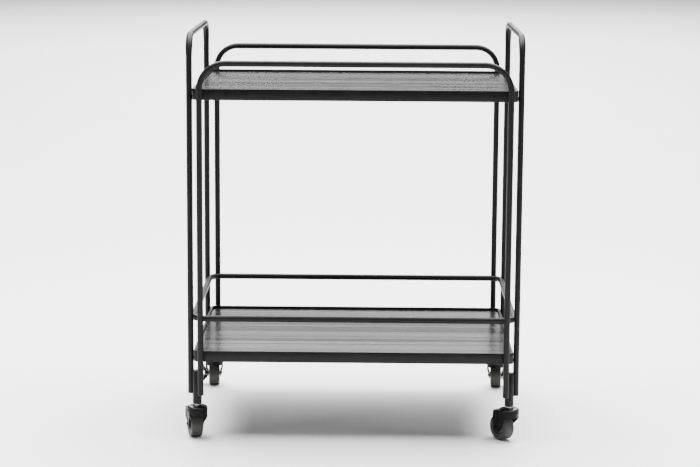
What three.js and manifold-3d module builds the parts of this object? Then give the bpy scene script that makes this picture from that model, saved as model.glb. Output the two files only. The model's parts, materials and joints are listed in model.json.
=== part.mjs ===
// Two-tier bar cart: bent steel tube frame, two inset trays, a lower guard rail and four swivel casters.
// Millimetres, +Z up, the floor at z = 0, the front of the cart towards -Y.
import * as THREE from "three";
import { mergeVertices } from "three/addons/utils/BufferGeometryUtils.js";
import Module from "manifold-3d";

const wasm = await Module();
wasm.setup();

// ---- driving dimensions: frame ----
const CART_WIDTH = 660;
const CART_DEPTH = 477;
const HANDLE_TOP = 811.5;
const RAIL_TOP = 758.3;
const TUBE_RADIUS = 6;
const TUBE_WALL = 1.2;
const LEG_STAGGER = 21; // from a handle leg to the rail leg beside it, along X and along Y
const HANDLE_BEND = 41;
const FRONT_RAIL_BEND = 51;
const REAR_RAIL_BEND = 46;
const LEG_BOTTOM = 92.5;
const GAP = 0.3; // between touching pieces

const HANDLE_X = CART_WIDTH / 2 - TUBE_RADIUS;
const RAIL_Y = CART_DEPTH / 2 - TUBE_RADIUS;
const RAIL_X = HANDLE_X - LEG_STAGGER;
const HANDLE_Y = RAIL_Y - LEG_STAGGER;

// ---- driving dimensions: plugs, guard rail and sockets ----
const PLUG_FLANGE = 1.2;
const PLUG_RADIUS = 4.1;
const PLUG_LENGTH = 9;
const GUARD_Z = 247;
const GUARD_INSET = 5.8; // the guard rail's centre line lies this far inside the leg axes
const GUARD_BEND = 26;
const SOCKET_RADIUS = 9;
const SOCKET_BORE = 5.9;
const SOCKET_BOTTOM = 73;
const SOCKET_TOP = 140.5;
const SOCKET_BORE_TOP = 119;

// ---- driving dimensions: trays ----
const TRAY_BOTTOMS = { bottom: 159, top: 680.3 };
const TRAY_HEIGHT = 22;
const TRAY_CORNER = 12;
const TRAY_SHEET = 1.2;
const TRAY_RIM_WIDTH = 5;
const TRAY_LEDGE = 14;
const TRAY_RETURN = 8;
const PANEL_DEPTH = 5; // from the rim's top down to the panel
const PANEL_THICKNESS = 5;
const BOLT_RADIUS = 2.5;
const BOLT_HEAD_RADIUS = 4.2;
const BOLT_HEAD = 3;
const BOLT_HEIGHT = 5.8; // above a tray's bottom edge
const TRAY_X = HANDLE_X - TUBE_RADIUS - GAP;
const TRAY_Y = RAIL_Y - TUBE_RADIUS - GAP;

// ---- driving dimensions: casters ----
const WHEEL_RADIUS = 26;
const TYRE_WIDTH = 23.5;
const TRAIL = 22; // from the swivel axis back to the axle
const HUB_RADIUS = 17;
const AXLE_RADIUS = 2.5;
const AXLE_HEAD_RADIUS = 3.8;
const FORK_TOP_WIDTH = 37.4;
const FORK_AXLE_WIDTH = 30.6;
const FORK_SHEET = 2.4;
const FORK_CROWN = 62.4;
const HOOD_BOTTOM = 50; // lower edge of the round skirt in front of the fork's crown
const HEAD_RADIUS = 20.5;
const PINTLE_RADIUS = 4;
const LEVER_THICKNESS = 4;
// Heading of each caster: the angle from +Y to the way its wheel trails, about +Z.
const CASTERS = [
  { name: "front_left", side: -1, end: -1, heading: 17, brake: false },
  { name: "front_right", side: 1, end: -1, heading: 34, brake: false },
  { name: "rear_left", side: -1, end: 1, heading: 4, brake: true },
  { name: "rear_right", side: 1, end: 1, heading: -4, brake: true },
];

// ---- materials ----
function material(color, roughness, metalness) {
  return new THREE.MeshStandardMaterial({ color, roughness, metalness });
}
const blackPaint = material(0x2b2a2a, 0.45, 0.3);
const panelBlack = material(0x3a3b3b, 0.35, 0.1);
const blackPlastic = material(0x151515, 0.5, 0);
const glossSteel = material(0x1d1d1f, 0.25, 0.7);
const zinc = material(0xb9bcc0, 0.3, 0.9);
const wheelPlastic = material(0x30302e, 0.55, 0);
const tyreRubber = material(0x4a4a45, 0.7, 0);

// ---- solids and meshes ----
const cart = new THREE.Group();

function addMesh(parent, name, geometry, look) {
  const mesh = new THREE.Mesh(geometry, look);
  mesh.name = name;
  parent.add(mesh);
  return mesh;
}

// A closed geometry as a solid that can be joined and cut.
function solidOf(geometry) {
  const bare = geometry.index ? geometry.toNonIndexed() : geometry.clone();
  bare.deleteAttribute("normal");
  bare.deleteAttribute("uv");
  const merged = mergeVertices(bare, 1e-4);
  const vertProperties = new Float32Array(merged.attributes.position.array);
  const triVerts = new Uint32Array(merged.index.array);
  return new wasm.Manifold(new wasm.Mesh({ numProp: 3, vertProperties, triVerts }));
}

function geometryOf(solid) {
  const { vertProperties, triVerts } = solid.getMesh();
  const geometry = new THREE.BufferGeometry();
  geometry.setAttribute("position", new THREE.BufferAttribute(new Float32Array(vertProperties), 3));
  geometry.setIndex(new THREE.BufferAttribute(new Uint32Array(triVerts), 1));
  const faceted = geometry.toNonIndexed();
  faceted.computeVertexNormals();
  return faceted;
}

// A path through square corners, each rounded to the bend radius: it is sampled only at the tube's stations.
class BentPath extends THREE.Curve {
  constructor(corners, bend, bendSteps) {
    super();
    this.stations = [];
    const last = corners.length - 1;
    const along = (i) => corners[i + 1].clone().sub(corners[i]).normalize();
    this.stations.push({ point: corners[0], tangent: along(0) });
    for (let i = 1; i < last; i++) {
      const before = along(i - 1);
      const after = along(i);
      const centre = corners[i].clone().addScaledVector(before, -bend).addScaledVector(after, bend);
      for (let k = 0; k <= bendSteps; k++) {
        const turn = ((Math.PI / 2) * k) / bendSteps;
        const point = centre.clone().addScaledVector(after, -bend * Math.cos(turn));
        point.addScaledVector(before, bend * Math.sin(turn));
        const tangent = before.clone().multiplyScalar(Math.cos(turn)).addScaledVector(after, Math.sin(turn));
        this.stations.push({ point, tangent });
      }
    }
    this.stations.push({ point: corners[last], tangent: along(last - 1) });
  }
  get steps() {
    return this.stations.length - 1;
  }
  getPointAt(u) {
    return this.stations[Math.round(u * this.steps)].point.clone();
  }
  getTangentAt(u) {
    return this.stations[Math.round(u * this.steps)].tangent.clone();
  }
}

// A hollow round tube along a bent path, open at both ends.
function tubeGeometry(path) {
  const section = new THREE.Shape().absarc(0, 0, TUBE_RADIUS, 0, 2 * Math.PI);
  section.holes.push(new THREE.Path().absarc(0, 0, TUBE_RADIUS - TUBE_WALL, 0, 2 * Math.PI, true));
  return new THREE.ExtrudeGeometry(section, { steps: path.steps, extrudePath: path, curveSegments: 6 });
}

// A turned piece about +Z, from its closed [radius, height] outline.
function turned(outline, sides = 20) {
  const points = outline.map(([r, z]) => new THREE.Vector2(r, z));
  return new THREE.LatheGeometry(points, sides).rotateX(Math.PI / 2);
}

function cylinderAt(radius, from, to, sides = 20) {
  const axis = to.clone().sub(from);
  const geometry = new THREE.CylinderGeometry(radius, radius, axis.length(), sides);
  const upright = new THREE.Vector3(0, 1, 0);
  const turn = new THREE.Quaternion().setFromUnitVectors(upright, axis.clone().normalize());
  geometry.applyQuaternion(turn);
  const middle = from.clone().addScaledVector(axis, 0.5);
  return geometry.translate(middle.x, middle.y, middle.z);
}

// A flat piece of the shape's outline, from z = low up to z = high.
function plate(shape, low, high, curveSegments = 5) {
  const options = { depth: high - low, bevelEnabled: false, curveSegments };
  return new THREE.ExtrudeGeometry(shape, options).translate(0, 0, low);
}

function polygon(points) {
  return new THREE.Shape(points.map(([x, y]) => new THREE.Vector2(x, y)));
}

function roundedRectangle(halfX, halfY, corner, Kind = THREE.Shape) {
  const outline = new Kind();
  outline.moveTo(halfX, -halfY + corner);
  outline.absarc(halfX - corner, halfY - corner, corner, 0, Math.PI / 2);
  outline.absarc(-halfX + corner, halfY - corner, corner, Math.PI / 2, Math.PI);
  outline.absarc(-halfX + corner, -halfY + corner, corner, Math.PI, 1.5 * Math.PI);
  outline.absarc(halfX - corner, -halfY + corner, corner, 1.5 * Math.PI, 2 * Math.PI);
  return outline;
}

// ---- bent tube frames ----
const BEND_STEPS = 6;
const BOLT_HEIGHTS = Object.values(TRAY_BOTTOMS).map((z) => z + BOLT_HEIGHT);
const legTubeBottom = LEG_BOTTOM + PLUG_FLANGE + GAP;

// The clearance hole of a tray bolt: through the tray's wall and the inner wall of a handle leg.
function boltHole(side, end, z) {
  const from = new THREE.Vector3(side * (TRAY_X - TRAY_RIM_WIDTH), end * HANDLE_Y, z);
  const to = new THREE.Vector3(side * (HANDLE_X + 1), end * HANDLE_Y, z);
  return solidOf(cylinderAt(BOLT_RADIUS + GAP, from, to, 10));
}

function handleFrame(side) {
  const x = side * HANDLE_X;
  const top = HANDLE_TOP - TUBE_RADIUS;
  const corners = [
    new THREE.Vector3(x, -HANDLE_Y, legTubeBottom),
    new THREE.Vector3(x, -HANDLE_Y, top),
    new THREE.Vector3(x, HANDLE_Y, top),
    new THREE.Vector3(x, HANDLE_Y, legTubeBottom),
  ];
  let frame = solidOf(tubeGeometry(new BentPath(corners, HANDLE_BEND, BEND_STEPS)));
  for (const z of BOLT_HEIGHTS) {
    for (const end of [-1, 1]) {
      frame = frame.subtract(boltHole(side, end, z));
    }
  }
  return geometryOf(frame);
}

function railFrame(end, bend) {
  const y = end * RAIL_Y;
  const top = RAIL_TOP - TUBE_RADIUS;
  const corners = [
    new THREE.Vector3(-RAIL_X, y, legTubeBottom),
    new THREE.Vector3(-RAIL_X, y, top),
    new THREE.Vector3(RAIL_X, y, top),
    new THREE.Vector3(RAIL_X, y, legTubeBottom),
  ];
  return tubeGeometry(new BentPath(corners, bend, BEND_STEPS));
}

addMesh(cart, "left_handle_frame", handleFrame(-1), blackPaint);
addMesh(cart, "right_handle_frame", handleFrame(1), blackPaint);
addMesh(cart, "front_rail_frame", railFrame(-1, FRONT_RAIL_BEND), blackPaint);
addMesh(cart, "rear_rail_frame", railFrame(1, REAR_RAIL_BEND), blackPaint);

// ---- leg end plugs ----
const plugOutline = [
  [0, LEG_BOTTOM],
  [TUBE_RADIUS, LEG_BOTTOM],
  [TUBE_RADIUS, LEG_BOTTOM + PLUG_FLANGE],
  [PLUG_RADIUS, LEG_BOTTOM + PLUG_FLANGE],
  [PLUG_RADIUS, LEG_BOTTOM + PLUG_FLANGE + PLUG_LENGTH - 1],
  [PLUG_RADIUS - 1, LEG_BOTTOM + PLUG_FLANGE + PLUG_LENGTH],
  [0, LEG_BOTTOM + PLUG_FLANGE + PLUG_LENGTH],
];
for (const caster of CASTERS) {
  const { name, side, end } = caster;
  const handlePlug = addMesh(cart, name + "_handle_leg_plug", turned(plugOutline, 12), blackPlastic);
  handlePlug.position.set(side * HANDLE_X, end * HANDLE_Y, 0);
  const railPlug = addMesh(cart, name + "_rail_leg_plug", turned(plugOutline, 12), blackPlastic);
  railPlug.position.set(side * RAIL_X, end * RAIL_Y, 0);
}

// ---- lower guard rail: one closed ring, notched round the eight legs that it is welded to ----
function guardRail() {
  const x = HANDLE_X - GUARD_INSET;
  const y = RAIL_Y - GUARD_INSET;
  const half = (side) => {
    const corners = [
      new THREE.Vector3(0, -side * y, GUARD_Z),
      new THREE.Vector3(side * x, -side * y, GUARD_Z),
      new THREE.Vector3(side * x, side * y, GUARD_Z),
      new THREE.Vector3(0, side * y, GUARD_Z),
    ];
    return solidOf(tubeGeometry(new BentPath(corners, GUARD_BEND, BEND_STEPS)));
  };
  let ring = half(1).add(half(-1));
  for (const { side, end } of CASTERS) {
    for (const [legX, legY] of [[side * HANDLE_X, end * HANDLE_Y], [side * RAIL_X, end * RAIL_Y]]) {
      const from = new THREE.Vector3(legX, legY, GUARD_Z - 2 * TUBE_RADIUS);
      const to = new THREE.Vector3(legX, legY, GUARD_Z + 2 * TUBE_RADIUS);
      ring = ring.subtract(solidOf(cylinderAt(TUBE_RADIUS + GAP, from, to, 16)));
    }
  }
  return geometryOf(ring);
}
addMesh(cart, "lower_guard_rail", guardRail(), blackPaint);

// ---- trays: a folded steel rim with a ledge, and the panel that lies on it ----
function rimLayer(outerInset, innerInset, low, high) {
  const shape = roundedRectangle(TRAY_X - outerInset, TRAY_Y - outerInset, TRAY_CORNER - outerInset);
  const corner = Math.max(TRAY_CORNER - innerInset, 1);
  shape.holes.push(roundedRectangle(TRAY_X - innerInset, TRAY_Y - innerInset, corner, THREE.Path));
  return solidOf(plate(shape, low, high));
}

const ledgeTop = TRAY_HEIGHT - PANEL_DEPTH - PANEL_THICKNESS - GAP;

function trayFrame(bottom) {
  const innerWall = TRAY_RIM_WIDTH - TRAY_SHEET;
  let rim = rimLayer(0, TRAY_SHEET, bottom, bottom + TRAY_HEIGHT);
  rim = rim.add(rimLayer(0, TRAY_RIM_WIDTH, bottom + TRAY_HEIGHT - TRAY_SHEET, bottom + TRAY_HEIGHT));
  rim = rim.add(rimLayer(innerWall, TRAY_RIM_WIDTH, bottom + ledgeTop - TRAY_SHEET, bottom + TRAY_HEIGHT));
  rim = rim.add(rimLayer(innerWall, TRAY_LEDGE, bottom + ledgeTop - TRAY_SHEET, bottom + ledgeTop));
  rim = rim.add(rimLayer(0, TRAY_RETURN, bottom, bottom + TRAY_SHEET));
  for (const { side, end } of CASTERS) {
    rim = rim.subtract(boltHole(side, end, bottom + BOLT_HEIGHT));
  }
  return geometryOf(rim);
}

function trayPanel(bottom) {
  const inset = TRAY_RIM_WIDTH + GAP;
  const shape = roundedRectangle(TRAY_X - inset, TRAY_Y - inset, TRAY_CORNER - inset);
  const top = bottom + TRAY_HEIGHT - PANEL_DEPTH;
  return plate(shape, top - PANEL_THICKNESS, top);
}

// A pan-head bolt lying along X, its head inside the tray and its tip inside the handle leg.
const boltSeat = TRAY_X - TRAY_SHEET - GAP;
const boltOutline = [
  [0, boltSeat - BOLT_HEAD],
  [BOLT_HEAD_RADIUS - 1, boltSeat - BOLT_HEAD],
  [BOLT_HEAD_RADIUS, boltSeat - BOLT_HEAD + 1],
  [BOLT_HEAD_RADIUS, boltSeat],
  [BOLT_RADIUS, boltSeat],
  [BOLT_RADIUS, HANDLE_X],
  [0, HANDLE_X],
];

for (const [tier, bottom] of Object.entries(TRAY_BOTTOMS)) {
  addMesh(cart, tier + "_tray_frame", trayFrame(bottom), blackPaint);
  addMesh(cart, tier + "_tray_panel", trayPanel(bottom), panelBlack);
  for (const { name, side, end } of CASTERS) {
    const bolt = addMesh(cart, `${tier}_tray_bolt_${name}`, turned(boltOutline, 10), glossSteel);
    bolt.rotation.y = (side * Math.PI) / 2;
    bolt.position.set(0, end * HANDLE_Y, bottom + BOLT_HEIGHT);
  }
}

// ---- casters ----
// A socket tube touches the handle leg and the rail leg beside it, on the inside of the corner.
const legDistance = TUBE_RADIUS + SOCKET_RADIUS + GAP;
const halfSpan = LEG_STAGGER / Math.SQRT2;
const socketInset = Math.sqrt(legDistance ** 2 - halfSpan ** 2) / Math.SQRT2;
const SOCKET_X = HANDLE_X - LEG_STAGGER / 2 - socketInset;
const SOCKET_Y = RAIL_Y - LEG_STAGGER / 2 - socketInset;

const socketOutline = [
  [SOCKET_BORE, SOCKET_BOTTOM],
  [SOCKET_RADIUS, SOCKET_BOTTOM],
  [SOCKET_RADIUS, SOCKET_TOP - 1],
  [SOCKET_RADIUS - 1, SOCKET_TOP],
  [0, SOCKET_TOP],
  [0, SOCKET_BORE_TOP],
  [SOCKET_BORE, SOCKET_BORE_TOP],
  [SOCKET_BORE, SOCKET_BOTTOM],
];

const CAP_BOTTOM = FORK_CROWN + 2 * GAP;
const CAP_TOP = SOCKET_BOTTOM - 2.4;
const FORK_FLOOR = FORK_CROWN - 3.9; // underside of the fork's crown
const stemOutline = [
  [0, FORK_FLOOR - GAP - 2.5],
  [6, FORK_FLOOR - GAP - 2.5],
  [6, FORK_FLOOR - GAP],
  [PINTLE_RADIUS, FORK_FLOOR - GAP],
  [PINTLE_RADIUS, CAP_TOP + GAP],
  [7.6, CAP_TOP + GAP],
  [7.6, SOCKET_BOTTOM - GAP],
  [SOCKET_BORE - GAP, SOCKET_BOTTOM - GAP],
  [SOCKET_BORE - GAP, SOCKET_BORE_TOP - 3],
  [SOCKET_BORE - GAP - 1.5, SOCKET_BORE_TOP - 1],
  [0, SOCKET_BORE_TOP - 1],
];

// The fixed upper race: a shallow dome over the fork's crown.
function capOutline() {
  const bore = PINTLE_RADIUS + GAP;
  const shoulder = CAP_BOTTOM + 3;
  const points = [[bore, CAP_BOTTOM], [HEAD_RADIUS, CAP_BOTTOM], [HEAD_RADIUS, shoulder]];
  const steps = 4;
  for (let i = 1; i <= steps; i++) {
    const turn = ((Math.PI / 2) * i) / steps;
    const r = 9 + (HEAD_RADIUS - 9) * Math.cos(turn);
    points.push([r, shoulder + (CAP_TOP - shoulder) * Math.sin(turn)]);
  }
  points.push([bore, CAP_TOP], [bore, CAP_BOTTOM]);
  return points;
}

// The fork: a bent sheet seen from the front, cut to its outline seen from the side.
function fork() {
  const top = FORK_TOP_WIDTH / 2;
  const low = FORK_AXLE_WIDTH / 2;
  const t = FORK_SHEET;
  const bendLow = 31;
  const bendHigh = 41;
  const outer = [[low, 10], [low, bendLow], [top, bendHigh], [top, FORK_CROWN]];
  const inner = [[top - t, FORK_FLOOR], [top - t, bendHigh + 0.8], [low - t, bendLow + 0.8], [low - t, 10]];
  const mirrored = (points) => points.map(([x, z]) => [-x, z]).reverse();
  const front = polygon([...outer, ...mirrored(outer), ...mirrored(inner), ...inner]);
  const side = new THREE.Shape();
  side.moveTo(-8, FORK_CROWN);
  side.lineTo(-8, HOOD_BOTTOM + 1);
  side.lineTo(-10, HOOD_BOTTOM - 1);
  side.lineTo(4, 35);
  side.absarc(TRAIL, WHEEL_RADIUS, 8.5, 1.22 * Math.PI, 2 * Math.PI);
  side.lineTo(TRAIL + 7, 46);
  side.lineTo(TRAIL + 5, FORK_CROWN);
  const reach = 60;
  // Both outlines are drawn flat and stood up: x, z seen from the front and y, z seen from the side.
  const frontSolid = solidOf(plate(front, -reach, reach).rotateX(Math.PI / 2));
  const sideSolid = solidOf(plate(side, -reach, reach).rotateX(Math.PI / 2).rotateZ(Math.PI / 2));
  let body = frontSolid.intersect(sideSolid);
  const crown = [[0, FORK_FLOOR], [HEAD_RADIUS, FORK_FLOOR], [HEAD_RADIUS, FORK_CROWN], [0, FORK_CROWN]];
  body = body.add(solidOf(turned(crown, 24)));
  const hood = [
    [top - t, HOOD_BOTTOM],
    [top, HOOD_BOTTOM],
    [top, FORK_FLOOR + 1],
    [top - t, FORK_FLOOR + 1],
    [top - t, HOOD_BOTTOM],
  ];
  const frontHalf = new THREE.BoxGeometry(2 * reach, reach, 2 * reach).translate(0, -reach / 2, FORK_FLOOR);
  body = body.add(solidOf(turned(hood, 24)).intersect(solidOf(frontHalf)));
  const above = new THREE.Vector3(0, 0, FORK_CROWN + 5);
  const below = new THREE.Vector3(0, 0, FORK_FLOOR - 5);
  body = body.subtract(solidOf(cylinderAt(PINTLE_RADIUS + GAP, below, above, 16)));
  const left = new THREE.Vector3(-reach, TRAIL, WHEEL_RADIUS);
  const right = new THREE.Vector3(reach, TRAIL, WHEEL_RADIUS);
  return geometryOf(body.subtract(solidOf(cylinderAt(AXLE_RADIUS + GAP, left, right, 12))));
}

// A turned piece about the axle, from its [radius, x] outline.
function onAxle(outline, sides) {
  const geometry = turned(outline, sides).rotateY(Math.PI / 2);
  return geometry.translate(0, TRAIL, WHEEL_RADIUS);
}

function tyre() {
  const half = TYRE_WIDTH / 2;
  const edge = 3.5;
  const tread = (side) => [
    [WHEEL_RADIUS - edge, side * half],
    [WHEEL_RADIUS - 1, side * (half - 1.2)],
    [WHEEL_RADIUS, side * (half - edge)],
  ];
  const bore = HUB_RADIUS + GAP;
  const outline = [[bore, -half], ...tread(-1), ...tread(1).reverse(), [bore, half], [bore, -half]];
  return onAxle(outline, 28);
}

function hub() {
  const bore = AXLE_RADIUS + GAP;
  const half = TYRE_WIDTH / 2 - 0.5;
  const boss = FORK_AXLE_WIDTH / 2 - FORK_SHEET - GAP;
  const dish = 3; // depth of the dished web, each side
  const face = (side) => [
    [bore, side * boss],
    [7, side * boss],
    [7, side * (half - dish)],
    [HUB_RADIUS - 3, side * (half - dish)],
    [HUB_RADIUS - 3, side * half],
    [HUB_RADIUS, side * half],
  ];
  return onAxle([...face(-1), ...face(1).reverse(), [bore, -boss]], 24);
}

// The axle: a rivet with a head outside each arm. On a braked caster the lever side is longer.
function axle(leverSide) {
  const arm = FORK_AXLE_WIDTH / 2 + GAP;
  const seat = (side) => arm + (side === leverSide ? LEVER_THICKNESS + GAP : 0);
  const outline = [
    [0, -seat(-1) - 2.2],
    [AXLE_HEAD_RADIUS - 1, -seat(-1) - 2.2],
    [AXLE_HEAD_RADIUS, -seat(-1) - 1.2],
    [AXLE_HEAD_RADIUS, -seat(-1)],
    [AXLE_RADIUS, -seat(-1)],
    [AXLE_RADIUS, seat(1)],
    [AXLE_HEAD_RADIUS, seat(1)],
    [AXLE_HEAD_RADIUS, seat(1) + 1.2],
    [AXLE_HEAD_RADIUS - 1, seat(1) + 2.2],
    [0, seat(1) + 2.2],
  ];
  return onAxle(outline, 12);
}

// The brake lever: a rocker on the axle outside one arm, with one pedal flared up and one flared down.
function brakeLever(side) {
  const cheek = new THREE.Shape().absarc(0, 0, 5.4, 0, 2 * Math.PI);
  const upperOuter = [[2.6, 4.2], [5, 4.2], [14.6, 11.5], [14.6, 16], [11.5, 20.5]];
  const upper = polygon([...upperOuter, [9.8, 20.5], [3.6, 10], [2.6, 8.8]]);
  const lower = polygon([[0, -9.5], [10.5, -19], [14, -17.4], [13.6, -10.5], [7.5, -4.6], [0, -4.6]]);
  const pedalHalf = 7; // half a pedal's size along the wheel's rolling direction
  // The cheek is drawn across the axle. A pedal is drawn in the plane of the axle and the vertical.
  const cheekSolid = solidOf(plate(cheek, 0, LEVER_THICKNESS, 8).rotateX(Math.PI / 2).rotateZ(Math.PI / 2));
  let lever = cheekSolid;
  for (const shape of [upper, lower]) {
    lever = lever.add(solidOf(plate(shape, -pedalHalf, pedalHalf).rotateX(Math.PI / 2)));
  }
  const left = new THREE.Vector3(-5, 0, 0);
  const right = new THREE.Vector3(20, 0, 0);
  lever = lever.subtract(solidOf(cylinderAt(AXLE_RADIUS + GAP, left, right, 12)));
  if (side < 0) {
    lever = lever.mirror([1, 0, 0]);
  }
  const inner = FORK_AXLE_WIDTH / 2 + GAP;
  return geometryOf(lever).translate(side * inner, TRAIL, WHEEL_RADIUS);
}

for (const { name, side, end, heading, brake } of CASTERS) {
  const caster = new THREE.Group();
  caster.position.set(side * SOCKET_X, end * SOCKET_Y, 0);
  caster.rotation.z = THREE.MathUtils.degToRad(heading);
  cart.add(caster);
  addMesh(caster, name + "_caster_socket", turned(socketOutline, 16), blackPaint);
  addMesh(caster, name + "_caster_stem", turned(stemOutline, 16), zinc);
  addMesh(caster, name + "_caster_cap", turned(capOutline(), 24), glossSteel);
  addMesh(caster, name + "_caster_fork", fork(), glossSteel);
  addMesh(caster, name + "_caster_hub", hub(), wheelPlastic);
  addMesh(caster, name + "_caster_tyre", tyre(), tyreRubber);
  addMesh(caster, name + "_caster_axle", axle(brake ? side : 0), zinc);
  if (brake) {
    addMesh(caster, name + "_brake_lever", brakeLever(side), blackPlastic);
  }
}

// The origin is the middle of the cart's box, at the floor.
const bounds = new THREE.Box3().setFromObject(cart, true);
cart.position.x = -(bounds.min.x + bounds.max.x) / 2;
cart.position.y = -(bounds.min.y + bounds.max.y) / 2;

export default cart;
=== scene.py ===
"""Bar cart on wheels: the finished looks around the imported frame. Metres, +Z up, front towards -Y."""
import json
import math

import bmesh
import bpy
from mathutils import Matrix, Vector


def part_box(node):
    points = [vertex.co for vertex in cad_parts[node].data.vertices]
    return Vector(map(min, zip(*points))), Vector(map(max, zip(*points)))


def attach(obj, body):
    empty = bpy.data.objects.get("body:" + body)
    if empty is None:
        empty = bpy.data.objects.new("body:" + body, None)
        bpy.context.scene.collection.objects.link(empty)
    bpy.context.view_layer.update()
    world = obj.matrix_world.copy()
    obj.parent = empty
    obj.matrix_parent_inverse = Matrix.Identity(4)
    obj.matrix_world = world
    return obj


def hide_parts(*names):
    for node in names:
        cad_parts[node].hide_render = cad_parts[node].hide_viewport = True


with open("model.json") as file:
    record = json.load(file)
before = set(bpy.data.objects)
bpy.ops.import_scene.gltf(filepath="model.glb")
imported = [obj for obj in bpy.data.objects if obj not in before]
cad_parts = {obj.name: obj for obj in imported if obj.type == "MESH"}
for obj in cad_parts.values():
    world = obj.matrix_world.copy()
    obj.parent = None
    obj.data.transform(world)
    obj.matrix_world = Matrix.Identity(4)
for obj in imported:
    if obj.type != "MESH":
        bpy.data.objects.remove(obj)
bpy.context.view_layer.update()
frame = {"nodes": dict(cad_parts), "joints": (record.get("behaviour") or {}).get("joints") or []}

# ---- driving dimensions, in metres, from the frame where it has them ----
MM = 0.001
ROOT = "cart_frame"
GAP = 0.3 * MM
CORNERS = {"front_left": (-1, -1), "front_right": (1, -1), "rear_left": (-1, 1), "rear_right": (1, 1)}

tray_low, tray_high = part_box("top_tray_frame")
MIDDLE = (tray_low + tray_high) / 2
left_low, left_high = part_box("left_handle_frame")
right_low, right_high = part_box("right_handle_frame")
front_low, front_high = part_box("front_rail_frame")
rear_low, rear_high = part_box("rear_rail_frame")
TUBE = (left_high.x - left_low.x) / 2  # radius
HANDLE_BEND = 41 * MM
FRONT_RAIL_BEND = 51 * MM
REAR_RAIL_BEND = 46 * MM
GUARD_BEND = 26 * MM
HANDLE_SPREAD = 0.14
RAIL_SPREAD = 0.1
SIDES = 40  # round a tube
SHARP_ANGLE = 32  # degrees; a sharper turn between two faces stays a crisp edge


# ---- mesh helpers ----
def new_object(name, vertices, faces, sharp_angle=SHARP_ANGLE):
    mesh = bpy.data.meshes.new(name)
    mesh.from_pydata([tuple(v) for v in vertices], [], faces)
    mesh.update()
    mesh.validate()
    mesh.polygons.foreach_set("use_smooth", [True] * len(mesh.polygons))
    mesh.set_sharp_from_angle(angle=math.radians(sharp_angle))
    obj = bpy.data.objects.new(name, mesh)
    bpy.context.scene.collection.objects.link(obj)
    return obj


def loft(name, rings, closed=False, sharp_angle=SHARP_ANGLE):
    """Joins equal rings of points with quads. An open loft gets a flat cap at each end."""
    count = len(rings[0])
    vertices = [point for ring in rings for point in ring]
    faces = []
    spans = len(rings) if closed else len(rings) - 1
    for i in range(spans):
        here = i * count
        there = ((i + 1) % len(rings)) * count
        for k in range(count):
            after = (k + 1) % count
            faces.append((here + k, here + after, there + after, there + k))
    if not closed:
        faces.append(tuple(range(count - 1, -1, -1)))
        faces.append(tuple(range((len(rings) - 1) * count, len(rings) * count)))
    return new_object(name, vertices, faces, sharp_angle)


def bent_stations(corners, bend, bend_steps=14, closed=False):
    """Points and tangents along square corners, each rounded to the bend radius."""
    corners = [Vector(c) for c in corners]
    count = len(corners)
    stations = []
    if not closed:
        stations.append((corners[0], (corners[1] - corners[0]).normalized()))
    turns = range(count) if closed else range(1, count - 1)
    for i in turns:
        before = (corners[i] - corners[i - 1]).normalized()
        after = (corners[(i + 1) % count] - corners[i]).normalized()
        centre = corners[i] - before * bend + after * bend
        for k in range(bend_steps + 1):
            turn = math.pi / 2 * k / bend_steps
            point = centre - after * bend * math.cos(turn) + before * bend * math.sin(turn)
            stations.append((point, before * math.cos(turn) + after * math.sin(turn)))
    if not closed:
        stations.append((corners[-1], (corners[-1] - corners[-2]).normalized()))
    return stations


def tube(name, stations, flat_normal, closed=False, spread=0.0):
    """A round bar along stations that lie in one plane. A cold-bent tube spreads sideways in its bends:
    by the share spread at the middle of each bend, where it is flattened by half as much."""
    normal = Vector(flat_normal).normalized()
    rings = []
    for point, tangent in stations:
        across = tangent.cross(normal)
        # 0 on a straight run, 1 halfway round a bend
        bent = 2 * max(abs(t) for t in tangent) * sorted(abs(t) for t in tangent)[1]
        wide = normal * TUBE * (1 + spread * bent)
        thin = across * TUBE * (1 - spread * bent / 2)
        ring = []
        for k in range(SIDES):
            turn = 2 * math.pi * k / SIDES
            ring.append(point + wide * math.cos(turn) + thin * math.sin(turn))
        rings.append(ring)
    return loft(name, rings, closed, sharp_angle=50)


def lathe(name, outline, sides=48, sharp_angle=SHARP_ANGLE):
    """Turns a closed (radius, height) outline about +Z."""
    rings = []
    for k in range(sides):
        turn = 2 * math.pi * k / sides
        rings.append([Vector((r * math.cos(turn), r * math.sin(turn), z)) for r, z in outline])
    obj = loft(name, rings, closed=True, sharp_angle=sharp_angle)
    weld(obj)
    return obj


def weld(obj, distance=1e-6):
    work = bmesh.new()
    work.from_mesh(obj.data)
    bmesh.ops.remove_doubles(work, verts=work.verts, dist=distance)
    bmesh.ops.dissolve_degenerate(work, edges=work.edges, dist=distance)
    bmesh.ops.recalc_face_normals(work, faces=work.faces)
    work.to_mesh(obj.data)
    work.free()


def round_edges(obj, width):
    modifier = obj.modifiers.new("edges", "BEVEL")
    modifier.width = width
    modifier.segments = 3
    modifier.limit_method = "ANGLE"
    modifier.angle_limit = math.radians(SHARP_ANGLE)


def cut(obj, cutter, operation="DIFFERENCE"):
    """Applies a boolean with the cutter, which is then thrown away."""
    modifier = obj.modifiers.new("cut", "BOOLEAN")
    modifier.operation = operation
    modifier.object = cutter
    modifier.solver = "EXACT"
    bpy.context.view_layer.update()
    evaluated = obj.evaluated_get(bpy.context.evaluated_depsgraph_get())
    mesh = bpy.data.meshes.new_from_object(evaluated)
    obj.modifiers.clear()
    obj.data = mesh
    bpy.data.objects.remove(cutter)
    mesh.polygons.foreach_set("use_smooth", [True] * len(mesh.polygons))
    mesh.set_sharp_from_angle(angle=math.radians(SHARP_ANGLE))


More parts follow.
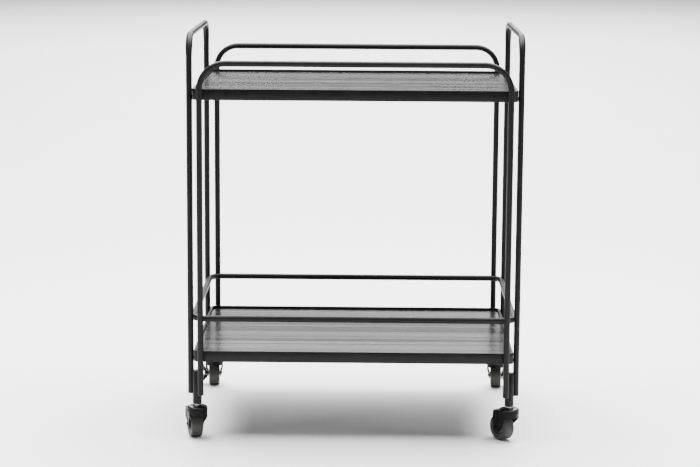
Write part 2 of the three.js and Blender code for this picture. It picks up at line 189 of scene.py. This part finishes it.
def prism(name, outline, low, high, axes="xyz"):
    """A flat outline extruded from low to high. axes says where its first, second and depth axes go."""
    order = ["xyz".index(a) for a in axes]
    rings = []
    for depth in (low, high):
        ring = []
        for u, v in outline:
            point = [0.0, 0.0, 0.0]
            for value, axis in zip((u, v, depth), order):
                point[axis] = value
            ring.append(Vector(point))
        rings.append(ring)
    obj = loft(name, rings)
    weld(obj)
    return obj


def arc_points(cx, cy, radius, start, end, steps):
    turns = [start + (end - start) * k / steps for k in range(steps + 1)]
    return [(cx + radius * math.cos(t), cy + radius * math.sin(t)) for t in turns]


def finish_piece(obj, material, body, replaced):
    """Gives a piece its material, the body it rides on and the CAD nodes it takes the place of."""
    obj.data.materials.clear()
    obj.data.materials.append(material)
    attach(obj, body)
    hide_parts(*replaced)


# ---- materials ----
def color_ramp(tree, source, stops):
    """A ramp node over source, through (position, colour) stops."""
    node = tree.nodes.new("ShaderNodeValToRGB")
    elements = node.color_ramp.elements
    while len(elements) < len(stops):
        elements.new(0.5)
    for element, (position, color) in zip(elements, stops):
        element.position = position
        element.color = (*color, 1)
    tree.links.new(source, node.inputs["Fac"])
    return node.outputs["Color"]


class Nodes:
    """A material's node tree, with one call per node."""

    def __init__(self, name):
        self.material = bpy.data.materials.new(name)
        self.material.use_nodes = True
        self.tree = self.material.node_tree
        self.shader = self.tree.nodes["Principled BSDF"]
        coordinates = self.add("ShaderNodeTexCoord")
        self.place = coordinates.outputs["Object"]

    def add(self, kind, **settings):
        node = self.tree.nodes.new(kind)
        for key, value in settings.items():
            setattr(node, key, value)
        return node

    def link(self, source, target):
        self.tree.links.new(source, target)

    def stretched(self, scale, source=None):
        mapping = self.add("ShaderNodeMapping")
        mapping.inputs["Scale"].default_value = scale
        self.link(source or self.place, mapping.inputs["Vector"])
        return mapping.outputs["Vector"]

    def noise(self, scale, detail=3.0, roughness=0.5, vector=None):
        node = self.add("ShaderNodeTexNoise")
        node.inputs["Scale"].default_value = scale
        node.inputs["Detail"].default_value = detail
        node.inputs["Roughness"].default_value = roughness
        self.link(vector or self.place, node.inputs["Vector"])
        return node.outputs["Fac"]

    def spread(self, value, from_low, from_high, to_low, to_high):
        node = self.add("ShaderNodeMapRange")
        node.inputs["From Min"].default_value = from_low
        node.inputs["From Max"].default_value = from_high
        node.inputs["To Min"].default_value = to_low
        node.inputs["To Max"].default_value = to_high
        self.link(value, node.inputs["Value"])
        return node.outputs["Result"]

    def ramp(self, value, stops):
        return color_ramp(self.tree, value, stops)

    def bump(self, height, strength, distance, normal=None):
        node = self.add("ShaderNodeBump")
        node.inputs["Strength"].default_value = strength
        node.inputs["Distance"].default_value = distance
        self.link(height, node.inputs["Height"])
        if normal:
            self.link(normal, node.inputs["Normal"])
        return node.outputs["Normal"]

    def set(self, **values):
        for key, value in values.items():
            self.shader.inputs[key.replace("_", " ")].default_value = value


def mottled(name, dark, light, rough_low, rough_high, grain, bump, scale=60.0, metallic=0.0, **settings):
    """A coated, moulded or metal surface: slight colour and gloss variation over a fine grain."""
    n = Nodes(name)
    patches = n.noise(scale, 4.0)
    n.link(n.ramp(patches, [(0.3, dark), (0.7, light)]), n.shader.inputs["Base Color"])
    n.link(n.spread(patches, 0.3, 0.7, rough_low, rough_high), n.shader.inputs["Roughness"])
    n.link(n.bump(n.noise(grain, 2.0), bump, 0.2 * MM), n.shader.inputs["Normal"])
    n.set(Metallic=metallic, **settings)
    return n.material


def grained_board():
    """Black stained wood board: long fine streaks of grain along X under a satin lacquer."""
    n = Nodes("black_wood_grain")
    waviness = 3 * MM
    drift = n.noise(1.6, 2.0, vector=n.stretched((1.0, 4.0, 4.0)))
    shift = n.add("ShaderNodeVectorMath", operation="SCALE")
    shift.inputs["Scale"].default_value = waviness
    n.link(drift, shift.inputs[0])
    moved = n.add("ShaderNodeVectorMath", operation="ADD")
    n.link(n.place, moved.inputs[0])
    n.link(shift.outputs["Vector"], moved.inputs[1])
    wavy = moved.outputs["Vector"]
    streaks = n.noise(30.0, 3.0, 0.6, n.stretched((0.015, 4.4, 4.4), wavy))
    bands = n.noise(6.0, 3.0, 0.5, n.stretched((0.10, 7.0, 7.0), wavy))
    pores = n.noise(220.0, 2.0, 0.6, n.stretched((0.03, 5.0, 5.0), wavy))
    stain = [(0.35, (0.008, 0.008, 0.008)), (0.65, (0.026, 0.026, 0.025))]
    n.link(n.ramp(streaks, stain), n.shader.inputs["Base Color"])
    n.link(n.spread(bands, 0.3, 0.7, 0.15, 0.23), n.shader.inputs["Roughness"])
    n.link(n.spread(streaks, 0.35, 0.65, 0.12, 0.62), n.shader.inputs["Specular IOR Level"])
    coarse = n.bump(streaks, 0.12, 0.5 * MM)
    n.link(n.bump(pores, 0.10, 0.2 * MM, coarse), n.shader.inputs["Normal"])
    return n.material


# name, darkest and lightest colour, lowest and highest roughness, grain per metre, grain strength
paint = mottled("black_powder_coat", (0.0058, 0.0057, 0.0057), (0.009, 0.0088, 0.0087), 0.34, 0.42, 900, 0.05,
                Specular_IOR_Level=0.13)
board = grained_board()
plug_plastic = mottled("plug_plastic", (0.008, 0.008, 0.008), (0.013, 0.013, 0.013), 0.5, 0.62, 1500, 0.15)
caster_black = mottled("caster_black", (0.0018, 0.0018, 0.0019), (0.0032, 0.0032, 0.0034), 0.14, 0.2, 700,
                       0.03, Specular_IOR_Level=0.14)
fork_black = mottled("fork_black", (0.002, 0.002, 0.0021), (0.0035, 0.0035, 0.0037), 0.34, 0.42, 700, 0.04,
                     Specular_IOR_Level=0.1)
zinc = mottled("bright_zinc", (0.45, 0.46, 0.48), (0.62, 0.63, 0.65), 0.2, 0.34, 600, 0.06, metallic=1.0)
hub_plastic = mottled("hub_plastic", (0.012, 0.012, 0.0115), (0.018, 0.018, 0.017), 0.36, 0.5, 1200, 0.12)
tyre_rubber = mottled("tyre_rubber", (0.032, 0.032, 0.0295), (0.048, 0.048, 0.044), 0.46, 0.58, 1400, 0.2,
                      Specular_IOR_Level=0.2)
brake_plastic = mottled("brake_plastic", (0.003, 0.003, 0.003), (0.005, 0.005, 0.005), 0.38, 0.48, 1000, 0.08,
                        Specular_IOR_Level=0.1)


# ---- bent tube frames ----
def handle_frame(name, low, high):
    x = (low.x + high.x) / 2
    near, far, top = low.y + TUBE, high.y - TUBE, high.z - TUBE
    corners = [(x, near, low.z), (x, near, top), (x, far, top), (x, far, low.z)]
    obj = tube(name + "_tube", bent_stations(corners, HANDLE_BEND), (1, 0, 0), spread=HANDLE_SPREAD)
    finish_piece(obj, paint, ROOT, [name])


def rail_frame(name, low, high, bend):
    y = (low.y + high.y) / 2
    left, right, top = low.x + TUBE, high.x - TUBE, high.z - TUBE
    corners = [(left, y, low.z), (left, y, top), (right, y, top), (right, y, low.z)]
    obj = tube(name + "_tube", bent_stations(corners, bend), (0, 1, 0), spread=RAIL_SPREAD)
    finish_piece(obj, paint, ROOT, [name])


handle_frame("left_handle_frame", left_low, left_high)
handle_frame("right_handle_frame", right_low, right_high)
rail_frame("front_rail_frame", front_low, front_high, FRONT_RAIL_BEND)
rail_frame("rear_rail_frame", rear_low, rear_high, REAR_RAIL_BEND)

# Each leg's axis: the handle leg and the rail leg at every corner.
LEGS = {}
for corner, (side, end) in CORNERS.items():
    handle = (left_low, left_high) if side < 0 else (right_low, right_high)
    rail = (front_low, front_high) if end < 0 else (rear_low, rear_high)
    handle_y = handle[0].y + TUBE if end < 0 else handle[1].y - TUBE
    rail_x = rail[0].x + TUBE if side < 0 else rail[1].x - TUBE
    LEGS[corner] = {
        "handle": Vector(((handle[0].x + handle[1].x) / 2, handle_y, 0)),
        "rail": Vector((rail_x, (rail[0].y + rail[1].y) / 2, 0)),
    }


def shifted(obj, place):
    obj.data.transform(Matrix.Translation(place))
    return obj


# ---- leg end plugs ----
def leg_plug(corner, which):
    node = f"{corner}_{which}_leg_plug"
    low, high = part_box(node)
    edge = 0.4 * MM
    stud = TUBE * 0.7
    flange = left_low.z - GAP
    outline = [
        (0, low.z), (TUBE - edge, low.z), (TUBE, low.z + edge), (TUBE, flange), (stud, flange),
        (stud, high.z), (0, high.z),
    ]
    obj = shifted(lathe(node + "_cap", outline, 32), LEGS[corner][which])
    finish_piece(obj, plug_plastic, ROOT, [node])


for corner in CORNERS:
    leg_plug(corner, "handle")
    leg_plug(corner, "rail")

# ---- lower guard rail, notched round the legs ----
guard_low, guard_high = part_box("lower_guard_rail")
GUARD_Z = (guard_low.z + guard_high.z) / 2


def guard_rail():
    left, right = guard_low.x + TUBE, guard_high.x - TUBE
    near, far = guard_low.y + TUBE, guard_high.y - TUBE
    corners = [(left, near, GUARD_Z), (right, near, GUARD_Z), (right, far, GUARD_Z), (left, far, GUARD_Z)]
    ring = tube("lower_guard_tube", bent_stations(corners, GUARD_BEND, closed=True), (0, 0, 1), closed=True)
    weld(ring)
    reach, notch = 20 * MM, TUBE + GAP / 3
    outline = [(0, -reach), (notch, -reach), (notch, reach), (0, reach)]
    for legs in LEGS.values():
        for leg in legs.values():
            cut(ring, shifted(lathe("notch", outline, SIDES), leg + Vector((0, 0, GUARD_Z))))
    finish_piece(ring, paint, ROOT, ["lower_guard_rail"])


guard_rail()

# ---- trays ----
RIM = 5 * MM  # width of the folded lip
SHEET = 1.2 * MM
LEDGE = 14 * MM  # from the outer wall to the free edge of the ledge
RETURN = 8 * MM  # and to that of the flange below
TRAY_CORNER = 12 * MM


def rounded_rectangle(half_x, half_y, corner, steps=8):
    corner = max(corner, 0.4 * MM)
    points = []
    for quarter, (sx, sy) in enumerate([(1, 1), (-1, 1), (-1, -1), (1, -1)]):
        start = quarter * math.pi / 2
        cx, cy = sx * (half_x - corner), sy * (half_y - corner)
        points += arc_points(cx, cy, corner, start, start + math.pi / 2, steps)
    return points


def tray(tier):
    node = tier + "_tray_frame"
    low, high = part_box(node)
    half_x, half_y = (high.x - low.x) / 2, (high.y - low.y) / 2
    panel_low, panel_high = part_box(tier + "_tray_panel")
    ledge = panel_low.z - GAP - low.z
    height = high.z - low.z
    soft = 0.7 * MM
    # The folded section, as (inset from the outer wall, height above the tray's bottom).
    section = [
        (0, soft), (0, height - soft), (soft * 0.3, height - soft * 0.3), (soft, height),
        (RIM - soft, height), (RIM - soft * 0.3, height - soft * 0.3), (RIM, height - soft),
        (RIM, ledge), (LEDGE, ledge), (LEDGE, ledge - SHEET), (RIM - SHEET, ledge - SHEET),
        (RIM - SHEET, height - SHEET), (SHEET, height - SHEET), (SHEET, SHEET), (RETURN, SHEET),
        (RETURN, 0), (soft, 0), (soft * 0.3, soft * 0.3),
    ]
    rings = []
    for inset, z in section:
        outline = rounded_rectangle(half_x - inset, half_y - inset, TRAY_CORNER - inset)
        rings.append([Vector((MIDDLE.x + x, MIDDLE.y + y, low.z + z)) for x, y in outline])
    rim = loft(node + "_rim", rings, closed=True, sharp_angle=50)
    weld(rim)
    finish_piece(rim, paint, ROOT, [node])

    half_x, half_y = (panel_high.x - panel_low.x) / 2, (panel_high.y - panel_low.y) / 2
    corner = TRAY_CORNER - RIM - GAP
    edge = 0.5 * MM
    layers = [(edge, panel_low.z), (0, panel_low.z + edge), (0, panel_high.z - edge), (edge, panel_high.z)]
    rings = []
    for inset, z in layers:
        outline = rounded_rectangle(half_x - inset, half_y - inset, corner - inset)
        rings.append([Vector((MIDDLE.x + x, MIDDLE.y + y, z)) for x, y in outline])
    panel = loft(tier + "_tray_board", rings)
    weld(panel)
    finish_piece(panel, board, ROOT, [tier + "_tray_panel"])


tray("top")
tray("bottom")

# ---- casters ----
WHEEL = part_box("rear_left_caster_tyre")[1].z / 2
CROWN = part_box("rear_left_caster_fork")[1].z
CAP_BOTTOM, CAP_TOP = (corner.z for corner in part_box("rear_left_caster_cap"))
SOCKET_BOTTOM, SOCKET_TOP = (corner.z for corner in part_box("rear_left_caster_socket"))
STEM_BOTTOM, STEM_TOP = (corner.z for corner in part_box("rear_left_caster_stem"))
CROWN_SHEET = 3.9 * MM
CROWN_FLOOR = CROWN - CROWN_SHEET
HOOD_BOTTOM = 50 * MM
TRAIL = 22 * MM  # from the stem to the axle
HALF_TREAD = 11.75 * MM
HUB = 17 * MM  # radius, as are AXLE, HEAD, SOCKET, SOCKET_BORE and PINTLE
AXLE = 2.5 * MM
ARM_TOP = 18.7 * MM  # from the fork's middle to the outside of an arm, under the crown
ARM_LOW = 15.3 * MM  # and beside the wheel
ARM_SHEET = 2.4 * MM
HEAD = 20.5 * MM
SOCKET = 9 * MM
SOCKET_BORE = 5.9 * MM
PINTLE = 4 * MM
LEVER = 4 * MM  # thickness of the brake's cheek
REACH = 60 * MM  # past every side of a caster, for the pieces that cut it


def caster_frame(corner):
    """The caster's own axes, from its joints: the origin on the stem at the floor, +Y the way it trails."""
    joints = {j["name"]: j for j in frame["joints"]}
    stem = Vector(joints[corner + "_swivel"]["pos_m"])
    axis = Vector(joints[corner + "_roll"]["axis"]).normalized()
    turn = math.atan2(axis.y, axis.x)
    return Matrix.Translation((stem.x, stem.y, 0)) @ Matrix.Rotation(turn, 4, "Z")


def on_axle(obj):
    """Moves a piece turned about +Z to the axle, its +Z along the axle's +X."""
    obj.data.transform(Matrix.Translation((0, TRAIL, WHEEL)) @ Matrix.Rotation(math.pi / 2, 4, "Y"))
    return obj


def place_piece(obj, to_cart, material, body, replaced):
    obj.data.transform(to_cart)
    finish_piece(obj, material, body, replaced)


def socket_outline():
    edge = 0.6 * MM
    top = SOCKET_TOP
    return [
        (SOCKET_BORE, SOCKET_BOTTOM), (SOCKET - edge, SOCKET_BOTTOM), (SOCKET, SOCKET_BOTTOM + edge),
        (SOCKET, top - 1 * MM), (SOCKET - 0.3 * MM, top - 0.3 * MM), (SOCKET - 1 * MM, top), (0, top),
        (0, STEM_TOP + 1 * MM), (SOCKET_BORE, STEM_TOP + 1 * MM),
    ]


def stem_outline():
    rivet = 6 * MM
    collar = 7.6 * MM
    edge = 0.5 * MM
    crown_floor = CROWN_FLOOR - GAP
    seat = CAP_TOP + GAP
    shoulder = SOCKET_BOTTOM - GAP
    return [
        (0, STEM_BOTTOM), (rivet - edge, STEM_BOTTOM), (rivet, STEM_BOTTOM + edge), (rivet, crown_floor),
        (PINTLE, crown_floor), (PINTLE, seat), (collar - edge, seat), (collar, seat + edge),
        (collar, shoulder - edge), (collar - edge, shoulder), (SOCKET_BORE - GAP, shoulder),
        (SOCKET_BORE - GAP, STEM_TOP - 2 * MM), (SOCKET_BORE - 2 * MM, STEM_TOP), (0, STEM_TOP),
    ]


def cap_outline():
    """The bearing's upper cap: a straight skirt, a rounded shoulder and a raised ring round the stem."""
    bore, ring, edge = PINTLE + GAP, 10.5 * MM, 0.5 * MM
    shoulder = CAP_BOTTOM + 2.6 * MM
    foot = ring + 1 * MM
    rise = CAP_TOP - 1.4 * MM - shoulder
    points = [(bore, CAP_BOTTOM), (HEAD - edge, CAP_BOTTOM), (HEAD, CAP_BOTTOM + edge), (HEAD, shoulder)]
    for k in range(1, 9):
        turn = math.pi / 2 * k / 8
        points.append((foot + (HEAD - foot) * math.cos(turn), shoulder + rise * math.sin(turn)))
    return points + [(ring, CAP_TOP - 0.6 * MM), (ring - 0.6 * MM, CAP_TOP), (bore, CAP_TOP)]


def bent_sheet(name, proud=0.0):
    """The fork's sheet seen from the front: two arms that flare up to the crown.
    proud moves its outer face outwards."""
    t = ARM_SHEET
    bend_low, bend_high, foot, edge = 31 * MM, 41 * MM, 10 * MM, 3 * MM
    top, low, roof = ARM_TOP + proud, ARM_LOW + proud, CROWN - 0.01 * MM
    outer = [(low, foot), (low, bend_low), (top, bend_high), (top, roof - edge)]
    outer += arc_points(top - edge, roof - edge, edge, 0, math.pi / 2, 5)[1:]
    inner = [
        (ARM_TOP - t, CROWN_FLOOR), (ARM_TOP - t, bend_high + 0.8 * MM),
        (ARM_LOW - t, bend_low + 0.8 * MM), (ARM_LOW - t, foot),
    ]

    def mirrored(points):
        return [(-x, z) for x, z in reversed(points)]

    return prism(name, outer + mirrored(outer) + mirrored(inner) + inner, -REACH, REACH, "xzy")


def fork_piece(name):
    """The stamped fork: two arms cut to their outline, a rib pressed in each, and a round hood in front."""
    body = bent_sheet(name)
    above = CROWN + 10 * MM
    toe = 8.5 * MM  # radius of the arm's end round the axle
    side = [
        (-8 * MM, above), (-8 * MM, HOOD_BOTTOM + 1 * MM), (-10 * MM, HOOD_BOTTOM - 1 * MM),
        (4 * MM, 35 * MM),
    ]
    side += arc_points(TRAIL, WHEEL, toe, 1.22 * math.pi, 2 * math.pi, 14)
    side += [(TRAIL + 7 * MM, 46 * MM), (TRAIL + 5 * MM, above)]
    cut(body, prism("side", side, -REACH, REACH, "yzx"), "INTERSECT")
    rib = bent_sheet("rib", proud=0.7 * MM)
    rib_front, rib_back = TRAIL - toe, TRAIL - toe + 3 * MM
    rib_low, rib_high = WHEEL + 3 * MM, CROWN - 3 * MM
    rib_side = [(rib_front, rib_low), (rib_back, rib_low), (rib_back, rib_high), (rib_front, rib_high)]
    cut(rib, prism("rib_side", rib_side, -REACH, REACH, "yzx"), "INTERSECT")
    cut(body, rib, "UNION")
    hood_in, hood_out, hood_top = ARM_TOP - ARM_SHEET, ARM_TOP - 0.05 * MM, CROWN_FLOOR + 1 * MM
    ring = [(hood_in, HOOD_BOTTOM), (hood_out, HOOD_BOTTOM), (hood_out, hood_top), (hood_in, hood_top)]
    hood = lathe("hood", ring, 64)
    front = [(-REACH, -REACH), (REACH, -REACH), (REACH, 0), (-REACH, 0)]
    cut(hood, prism("front", front, 0, REACH * 2), "INTERSECT")
    cut(body, hood, "UNION")
    crown = [(0, CROWN_FLOOR), (HEAD, CROWN_FLOOR), (HEAD, CROWN), (0, CROWN)]
    cut(body, lathe("crown", crown, 64), "UNION")
    bore = PINTLE + GAP
    cut(body, lathe("bore", [(0, 50 * MM), (bore, 50 * MM), (bore, 70 * MM), (0, 70 * MM)], 32))
    hole = AXLE + GAP
    cut(body, on_axle(lathe("hole", [(0, -REACH), (hole, -REACH), (hole, REACH), (0, REACH)], 24)))
    round_edges(body, 0.4 * MM)
    return body


def both_sides(right):
    """A closed (radius, place on the axle) outline from its right half."""
    return right + [(r, -x) for r, x in reversed(right)]


def tyre_outline():
    bore = HUB + GAP
    shoulder = 3 * MM
    half = []
    for k in range(9):
        turn = math.pi / 2 * k / 8
        radius = WHEEL - shoulder * (1 - math.sin(turn))
        half.append((radius, HALF_TREAD - shoulder * (1 - math.cos(turn))))
    return both_sides([(bore, HALF_TREAD - 0.6 * MM), (bore + 0.8 * MM, HALF_TREAD)] + half)


def hub_outline():
    bore = AXLE + GAP
    boss = ARM_LOW - ARM_SHEET - GAP
    face = HALF_TREAD - 0.6 * MM
    web = face - 3.2 * MM
    return both_sides([
        (bore, boss), (6.4 * MM, boss), (7 * MM, boss - 0.6 * MM), (7.6 * MM, web + 0.6 * MM),
        (8.4 * MM, web), (12.6 * MM, web), (13.6 * MM, web + 0.8 * MM), (14 * MM, face - 0.5 * MM),
        (14.5 * MM, face), (HUB - 0.4 * MM, face), (HUB, face - 0.4 * MM),
    ])


def axle_outline(left_seat, right_seat):
    """A tubular rivet: a rolled head outside each arm, with a hole in its middle."""
    head, pit, depth = 3.8 * MM, 1.5 * MM, 4 * MM

    def end(seat):
        return [
            (AXLE, seat), (head - 0.4 * MM, seat), (head, seat + 0.5 * MM),
            (head - 0.3 * MM, seat + 1.2 * MM), (head - 1.1 * MM, seat + 1.8 * MM),
            (pit + 0.3 * MM, seat + 1.4 * MM), (pit, seat + 0.8 * MM), (pit, seat - depth), (0, seat - depth),
        ]

    return end(right_seat) + [(r, -x) for r, x in reversed(end(left_seat))]


def lever_piece(name, side):
    """The brake's rocker: a round cheek on the axle with a pedal flared up and another flared down."""
    inner = (ARM_LOW + GAP) * side
    round_cheek, pedal_half = 5.4 * MM, 7 * MM
    cheek = lathe(name, [(0, 0), (round_cheek, 0), (round_cheek, LEVER), (0, LEVER)], 40)
    # In millimetres: the way out from the fork's arm, and the height above the axle.
    upper = [(2.6, 4.2), (5, 4.2), (14, 11), (14.6, 12.2), (14.6, 15.6), (14.1, 17), (12, 20), (10.8, 20.5),
             (9.8, 20.2), (3.6, 10), (2.6, 8.8)]
    lower = [(0, -4.6), (0, -9.5), (10, -18.6), (11.2, -19), (13.2, -18), (14, -16.8), (13.7, -11.6),
             (13, -10), (8.6, -5.8), (7.2, -4.6)]
    for outline in (upper, lower):
        points = [(out * MM, up * MM) for out, up in outline]
        wing = prism("wing", points, -pedal_half, pedal_half, "zyx")
        cut(cheek, wing, "UNION")
    hole = AXLE + GAP
    cut(cheek, lathe("hole", [(0, -REACH), (hole, -REACH), (hole, REACH), (0, REACH)], 24))
    round_edges(cheek, 0.5 * MM)
    turn = Matrix.Rotation(math.pi / 2, 4, "Z") @ Matrix.Rotation(math.pi / 2, 4, "X")
    if side < 0:
        turn = Matrix.Scale(-1, 4, (1, 0, 0)) @ turn
    cheek.data.transform(Matrix.Translation((inner, TRAIL, WHEEL)) @ turn)
    if side < 0:
        cheek.data.flip_normals()
    return cheek


def caster(corner, side, braked):
    to_cart = caster_frame(corner)
    fork_body, wheel_body = corner + "_fork", corner + "_wheel"
    socket = lathe(corner + "_socket_tube", socket_outline(), SIDES)
    place_piece(socket, to_cart, paint, ROOT, [corner + "_caster_socket"])
    stem = lathe(corner + "_stem_pin", stem_outline(), 40)
    place_piece(stem, to_cart, zinc, ROOT, [corner + "_caster_stem"])
    cap = lathe(corner + "_race_cap", cap_outline(), 64)
    place_piece(cap, to_cart, caster_black, ROOT, [corner + "_caster_cap"])
    fork = fork_piece(corner + "_fork_stamping")
    place_piece(fork, to_cart, fork_black, fork_body, [corner + "_caster_fork"])
    tyre = on_axle(lathe(corner + "_tyre_tread", tyre_outline(), 72, 50))
    place_piece(tyre, to_cart, tyre_rubber, wheel_body, [corner + "_caster_tyre"])
    hub = on_axle(lathe(corner + "_hub_disc", hub_outline(), 64))
    place_piece(hub, to_cart, hub_plastic, wheel_body, [corner + "_caster_hub"])
    seats = {-1: ARM_LOW + GAP, 1: ARM_LOW + GAP}
    if braked:
        seats[side] += LEVER + GAP
    axle = on_axle(lathe(corner + "_axle_rivet", axle_outline(seats[-1], seats[1]), 32))
    place_piece(axle, to_cart, fork_black, fork_body, [corner + "_caster_axle"])
    if braked:
        lever_body = corner + "_brake"
        lever = lever_piece(corner + "_brake_rocker", side)
        place_piece(lever, to_cart, brake_plastic, lever_body, [corner + "_brake_lever"])


for corner, (side, end) in CORNERS.items():
    caster(corner, side, braked=end > 0)

# ---- carried-over nodes ----
for name, node in frame["nodes"].items():
    if "_tray_bolt_" in name:
        node.data.materials.clear()
        node.data.materials.append(caster_black)


# ---- stage, light and camera ----
FLOOR_HALF = 60.0  # half the floor's width
# (position, brightness): by the height of the direction, and from in front of the cart to behind it
SKY_HEIGHT = [(0.0, 0.12), (0.13, 0.12), (0.23, 1.2), (0.4, 1.1), (0.7, 0.4)]
SKY_DEPTH = [(0.0, 0.25), (0.45, 0.3), (0.75, 1.0)]
STRIP_SIZE = (0.35, 2.2)
CAMERA_PLACE = (0.03121, -4.16772, 1.08073)  # from the middle of the cart at the floor
CAMERA_YAW, CAMERA_PITCH, CAMERA_ROLL = 0.0100, 0.1661, 0.0064  # radians
SENSOR_WIDTH, FOCAL_LENGTH = 36, 104.69  # millimetres


def floor():
    outline = rounded_rectangle(FLOOR_HALF, FLOOR_HALF, 5.0, 4)
    ring = [Vector((MIDDLE.x + x, MIDDLE.y + y, -0.5 * MM)) for x, y in outline]
    obj = new_object("floor", ring, [tuple(range(len(ring)))])
    n = Nodes("floor_white")
    soft = n.noise(0.8, 2.0)
    pale = [(0.3, (0.86, 0.86, 0.86)), (0.7, (0.88, 0.88, 0.88))]
    n.link(n.ramp(soft, pale), n.shader.inputs["Base Color"])
    n.set(Roughness=0.9, Specular_IOR_Level=0.0)
    obj.data.materials.append(n.material)


def sky():
    """Soft studio surroundings: a pale band behind the cart, dim in front and low down."""
    world = bpy.data.worlds.new("studio")
    bpy.context.scene.world = world
    world.use_nodes = True
    tree = world.node_tree
    background = tree.nodes["Background"]

    def brightness(source, stops):
        return color_ramp(tree, source, [(position, (value, value, value)) for position, value in stops])

    coordinates = tree.nodes.new("ShaderNodeTexCoord")
    split = tree.nodes.new("ShaderNodeSeparateXYZ")
    tree.links.new(coordinates.outputs["Generated"], split.inputs["Vector"])
    height = brightness(split.outputs["Z"], SKY_HEIGHT)
    behind = tree.nodes.new("ShaderNodeMath")
    behind.operation = "MULTIPLY_ADD"
    behind.inputs[1].default_value = 0.5
    behind.inputs[2].default_value = 0.5
    tree.links.new(split.outputs["Y"], behind.inputs[0])
    depth = brightness(behind.outputs[0], SKY_DEPTH)
    both = tree.nodes.new("ShaderNodeMixRGB")
    both.blend_type = "MULTIPLY"
    both.inputs["Fac"].default_value = 1.0
    tree.links.new(height, both.inputs["Color1"])
    tree.links.new(depth, both.inputs["Color2"])
    tree.links.new(both.outputs["Color"], background.inputs["Color"])
    background.inputs["Strength"].default_value = 1.0


def softbox(name, place, target, width, height, power):
    data = bpy.data.lights.new(name, "AREA")
    data.shape = "RECTANGLE"
    data.size = width
    data.size_y = height
    data.energy = power
    obj = bpy.data.objects.new(name, data)
    bpy.context.scene.collection.objects.link(obj)
    obj.location = Vector(place)
    obj.rotation_euler = (Vector(target) - Vector(place)).to_track_quat("-Z", "Y").to_euler()


def softboxes():
    aim = (MIDDLE.x, MIDDLE.y, 0.45)
    softbox("left_strip", (-3.2, -2.0, 1.3), aim, *STRIP_SIZE, 20)
    softbox("right_strip", (3.2, -1.2, 1.3), aim, *STRIP_SIZE, 16)
    softbox("rear_overhead", (0, 6.8, 4.6), (0, 6.8, 0), 6.5, 15.0, 2700)
    softbox("cart_overhead", (0, 0.0, 2.7), (0, 0.0, 0), 3.0, 2.2, 240)


def camera():
    yaw, pitch, roll = CAMERA_YAW, CAMERA_PITCH, CAMERA_ROLL
    place = Vector((MIDDLE.x, MIDDLE.y, 0)) + Vector(CAMERA_PLACE)
    forward = Vector((-math.sin(yaw) * math.cos(pitch), math.cos(yaw) * math.cos(pitch), -math.sin(pitch)))
    level = Vector((math.cos(yaw), math.sin(yaw), 0))
    upright = level.cross(forward)
    right = level * math.cos(roll) + upright * math.sin(roll)
    up = upright * math.cos(roll) - level * math.sin(roll)
    data = bpy.data.cameras.new("camera")
    data.sensor_width = SENSOR_WIDTH
    data.lens = FOCAL_LENGTH
    data.clip_end = 200
    obj = bpy.data.objects.new("camera", data)
    turn = Matrix((right, up, -forward)).transposed().to_4x4()
    obj.matrix_world = Matrix.Translation(place) @ turn
    bpy.context.scene.collection.objects.link(obj)
    bpy.context.scene.camera = obj


floor()
sky()
softboxes()
camera()
